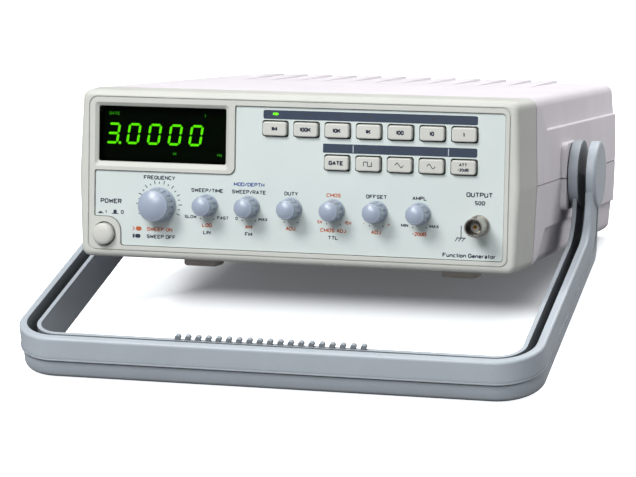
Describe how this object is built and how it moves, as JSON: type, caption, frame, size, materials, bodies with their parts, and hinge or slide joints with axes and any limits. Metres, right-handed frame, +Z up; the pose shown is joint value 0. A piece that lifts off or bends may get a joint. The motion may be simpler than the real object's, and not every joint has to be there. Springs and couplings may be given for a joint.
{
  "type": "function generator",
  "caption": "Bench function generator with a counter display, push keys, pull-and-turn knobs, an output socket and a swing-down carry handle that props up its front.",
  "frame": {"origin": "middle of the underside of the front left foot, seen from the front", "axes": "+Z up, front panel facing -Y, +X to the right seen from the front; the case is level, standing on its four feet"},
  "size_m": [0.2884, 0.3478, 0.1534],
  "materials": {
    "bezel": "fine matt grey-white moulding",
    "panel": "satin pale blue-grey printed plate",
    "cover": "fine spark texture, off-white",
    "plate": "grey paint on aluminium",
    "foot": "taupe, matt",
    "lens": "dark tinted acrylic",
    "black": "black",
    "board": "green laminate",
    "steel": "bright zinc plated",
    "tinted": "diffusing light bar",
    "nickel": "nickel plate",
    "key": "satin off-white",
    "knob": "satin blue-grey",
    "insulator": "white fluoropolymer",
    "gold": "gold plate",
    "core": "varnished laminations",
    "handle": "fine texture, blue-grey"
  },
  "bodies": {
    "case": {"front_bezel": "bezel", "front_panel": "panel", "top_cover": "cover", "bottom_cover": "cover", "rear_panel": "plate", "feet": "foot", "display_lens": "lens", "display_module": "black", "front_board": "board", "board_screws": "steel", "key_switches": "black", "key_lights": "tinted", "pot_bodies": "nickel", "power_switch": "black", "output_shell": "nickel", "socket_insulators": "insulator", "output_contact": "gold", "output_nut": "nickel", "rear_socket_shells": "nickel", "mains_inlet": "black", "main_board": "board", "transformer": "core", "cover_screws": "steel", "pivot_pins": "steel"},
    "handle": {"handle": "handle"},
    "power_button": {"power_button": "key"},
    "key_range_1m": {"key_range_1m": "key"},
    "key_range_100k": {"key_range_100k": "key"},
    "key_range_10k": {"key_range_10k": "key"},
    "key_range_1k": {"key_range_1k": "key"},
    "key_range_100": {"key_range_100": "key"},
    "key_range_10": {"key_range_10": "key"},
    "key_range_1": {"key_range_1": "key"},
    "key_gate": {"key_gate": "key"},
    "key_square": {"key_square": "key"},
    "key_triangle": {"key_triangle": "key"},
    "key_sine": {"key_sine": "key"},
    "key_attenuator": {"key_attenuator": "key"},
    "rotor_frequency": {"rotor_frequency": "black"},
    "knob_frequency": {"knob_frequency": "knob", "shaft_frequency": "steel"},
    "rotor_sweep_time": {"rotor_sweep_time": "black"},
    "knob_sweep_time": {"knob_sweep_time": "knob", "shaft_sweep_time": "steel"},
    "rotor_sweep_rate": {"rotor_sweep_rate": "black"},
    "knob_sweep_rate": {"knob_sweep_rate": "knob", "shaft_sweep_rate": "steel"},
    "rotor_duty": {"rotor_duty": "black"},
    "knob_duty": {"knob_duty": "knob", "shaft_duty": "steel"},
    "rotor_cmos": {"rotor_cmos": "black"},
    "knob_cmos": {"knob_cmos": "knob", "shaft_cmos": "steel"},
    "rotor_offset": {"rotor_offset": "black"},
    "knob_offset": {"knob_offset": "knob", "shaft_offset": "steel"},
    "rotor_amplitude": {"rotor_amplitude": "black"},
    "knob_amplitude": {"knob_amplitude": "knob", "shaft_amplitude": "steel"}
  },
  "joints": [
    {"name": "handle_swing", "type": "hinge", "parent": "case", "child": "handle", "pos_m": [0.0748, 0.0395, 0.0567], "axis": [1, 0, 0], "range_deg": [-210, 15], "stiffness_Nm_per_rad": 60},
    {"name": "power_press", "type": "slide", "parent": "case", "child": "power_button", "axis": [0, 1, 0], "range_m": [0, 0.0035]},
    {"name": "press_range_1m", "type": "slide", "parent": "case", "child": "key_range_1m", "axis": [0, 1, 0], "range_m": [0, 0.0015]},
    {"name": "press_range_100k", "type": "slide", "parent": "case", "child": "key_range_100k", "axis": [0, 1, 0], "range_m": [0, 0.0015]},
    {"name": "press_range_10k", "type": "slide", "parent": "case", "child": "key_range_10k", "axis": [0, 1, 0], "range_m": [0, 0.0015]},
    {"name": "press_range_1k", "type": "slide", "parent": "case", "child": "key_range_1k", "axis": [0, 1, 0], "range_m": [0, 0.0015]},
    {"name": "press_range_100", "type": "slide", "parent": "case", "child": "key_range_100", "axis": [0, 1, 0], "range_m": [0, 0.0015]},
    {"name": "press_range_10", "type": "slide", "parent": "case", "child": "key_range_10", "axis": [0, 1, 0], "range_m": [0, 0.0015]},
    {"name": "press_range_1", "type": "slide", "parent": "case", "child": "key_range_1", "axis": [0, 1, 0], "range_m": [0, 0.0015]},
    {"name": "press_gate", "type": "slide", "parent": "case", "child": "key_gate", "axis": [0, 1, 0], "range_m": [0, 0.0015]},
    {"name": "press_square", "type": "slide", "parent": "case", "child": "key_square", "axis": [0, 1, 0], "range_m": [0, 0.0015]},
    {"name": "press_triangle", "type": "slide", "parent": "case", "child": "key_triangle", "axis": [0, 1, 0], "range_m": [0, 0.0015]},
    {"name": "press_sine", "type": "slide", "parent": "case", "child": "key_sine", "axis": [0, 1, 0], "range_m": [0, 0.0015]},
    {"name": "press_attenuator", "type": "slide", "parent": "case", "child": "key_attenuator", "axis": [0, 1, 0], "range_m": [0, 0.0015]},
    {"name": "turn_frequency", "type": "hinge", "parent": "case", "child": "rotor_frequency", "pos_m": [-0.0013, -0.0775, 0.0397], "axis": [0, 1, 0], "range_deg": [-150, 150]},
    {"name": "pull_frequency", "type": "slide", "parent": "rotor_frequency", "child": "knob_frequency", "axis": [0, -1, 0], "range_m": [0, 0.005]},
    {"name": "turn_sweep_time", "type": "hinge", "parent": "case", "child": "rotor_sweep_time", "pos_m": [0.0259, -0.0775, 0.0404], "axis": [0, 1, 0], "range_deg": [-150, 150]},
    {"name": "pull_sweep_time", "type": "slide", "parent": "rotor_sweep_time", "child": "knob_sweep_time", "axis": [0, -1, 0], "range_m": [0, 0.005]},
    {"name": "turn_sweep_rate", "type": "hinge", "parent": "case", "child": "rotor_sweep_rate", "pos_m": [0.04935, -0.0775, 0.0404], "axis": [0, 1, 0], "range_deg": [-150, 150]},
    {"name": "pull_sweep_rate", "type": "slide", "parent": "rotor_sweep_rate", "child": "knob_sweep_rate", "axis": [0, -1, 0], "range_m": [0, 0.005]},
    {"name": "turn_duty", "type": "hinge", "parent": "case", "child": "rotor_duty", "pos_m": [0.0728, -0.0775, 0.0404], "axis": [0, 1, 0], "range_deg": [-150, 150]},
    {"name": "pull_duty", "type": "slide", "parent": "rotor_duty", "child": "knob_duty", "axis": [0, -1, 0], "range_m": [0, 0.005]},
    {"name": "turn_cmos", "type": "hinge", "parent": "case", "child": "rotor_cmos", "pos_m": [0.09625, -0.0775, 0.0404], "axis": [0, 1, 0], "range_deg": [-150, 150]},
    {"name": "pull_cmos", "type": "slide", "parent": "rotor_cmos", "child": "knob_cmos", "axis": [0, -1, 0], "range_m": [0, 0.005]},
    {"name": "turn_offset", "type": "hinge", "parent": "case", "child": "rotor_offset", "pos_m": [0.1197, -0.0775, 0.0404], "axis": [0, 1, 0], "range_deg": [-150, 150]},
    {"name": "pull_offset", "type": "slide", "parent": "rotor_offset", "child": "knob_offset", "axis": [0, -1, 0], "range_m": [0, 0.005]},
    {"name": "turn_amplitude", "type": "hinge", "parent": "case", "child": "rotor_amplitude", "pos_m": [0.14315, -0.0775, 0.0404], "axis": [0, 1, 0], "range_deg": [-150, 150]},
    {"name": "pull_amplitude", "type": "slide", "parent": "rotor_amplitude", "child": "knob_amplitude", "axis": [0, -1, 0], "range_m": [0, 0.005]}
  ]
}
